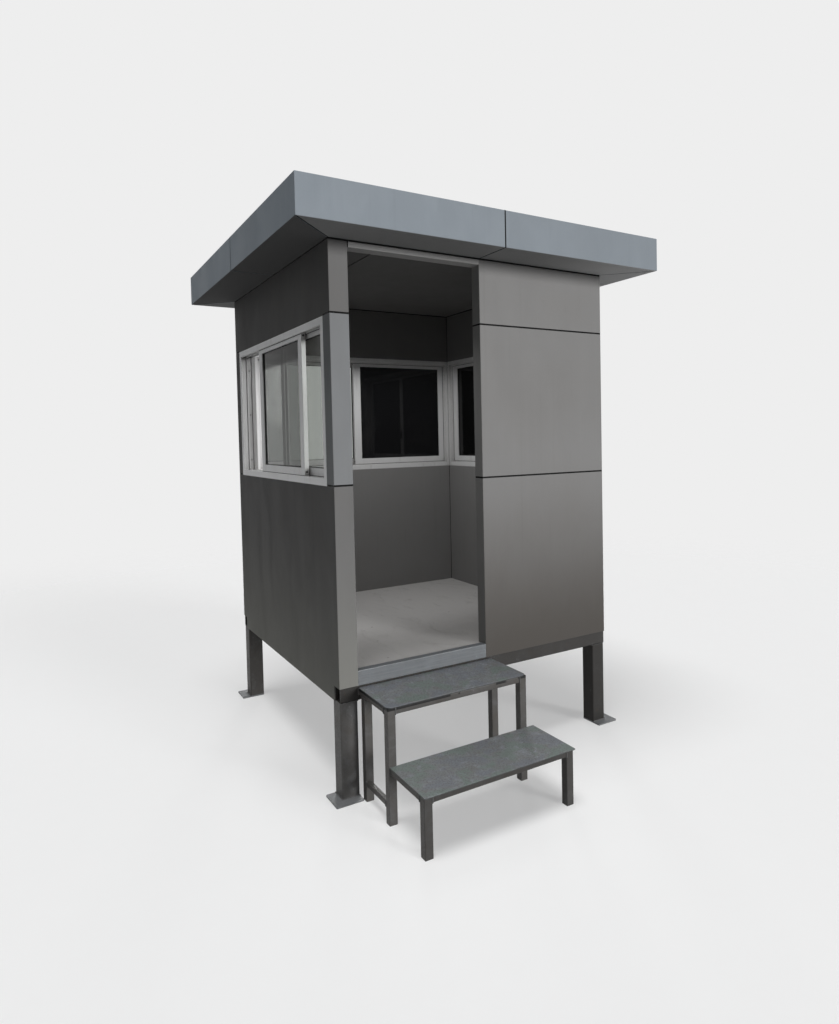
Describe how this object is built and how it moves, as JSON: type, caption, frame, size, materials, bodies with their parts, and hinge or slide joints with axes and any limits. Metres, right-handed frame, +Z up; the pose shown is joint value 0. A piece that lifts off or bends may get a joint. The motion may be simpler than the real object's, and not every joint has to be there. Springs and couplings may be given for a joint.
{
  "type": "security guard booth",
  "caption": "Square guard booth on steel legs, clad in grey sheet, with sliding windows, an open doorway, a flat overhanging roof and a steel step.",
  "frame": {"origin": "on the ground, under the middle of the box that holds the roof and the step", "axes": "+X to the right along the front, +Y into the booth, +Z up"},
  "size_m": [2.16, 2.563, 2.85],
  "materials": {
    "frame_steel": "dull grey paint on steel, scuffed and stained",
    "inner_steel": "dark primer",
    "step_steel": "worn grey-green paint on steel",
    "cladding": "satin silver-grey coil coating",
    "lining": "satin grey coil coating",
    "window_frame": "white powder coat",
    "window_glass": "clear, lightly tinted",
    "floor_board": "matt pale board, scuffed",
    "sealant": "black silicone and glazing rubber",
    "fixings": "zinc-plated screws, latches and welds",
    "roof_sheet": "weathered coated steel sheet"
  },
  "bodies": {
    "root": {"leg_front_left": "frame_steel", "leg_front_right": "frame_steel", "leg_back_left": "frame_steel", "leg_back_right": "frame_steel", "base_beams": "frame_steel", "floor_joists": "frame_steel", "door_threshold": "frame_steel", "wall_posts": "inner_steel", "wall_rails": "inner_steel", "roof_rafters": "inner_steel", "upper_tread": "step_steel", "lower_tread": "step_steel", "step_legs": "step_steel", "step_rails": "step_steel", "front_panel_lower": "cladding", "front_panel_middle": "cladding", "front_panel_upper": "cladding", "left_panel_lower": "cladding", "left_panel_upper": "cladding", "right_panel_lower": "cladding", "right_panel_upper": "cladding", "back_panel_lower": "cladding", "back_panel_upper": "cladding", "corner_cover_front_left": "cladding", "corner_covers_back": "cladding", "door_header": "cladding", "fascia_front": "cladding", "fascia_back": "cladding", "fascia_left": "cladding", "fascia_right": "cladding", "lining_below_windows": "lining", "lining_over_windows": "lining", "lining_front": "lining", "ceiling": "lining", "left_window_frame": "window_frame", "left_window_sashes": "window_frame", "left_window_glass": "window_glass", "back_window_frame": "window_frame", "back_window_sashes": "window_frame", "back_window_glass": "window_glass", "right_window_frame": "window_frame", "right_window_sashes": "window_frame", "right_window_glass": "window_glass", "floor_board": "floor_board", "roof_sheet": "roof_sheet"}
  },
  "joints": []
}
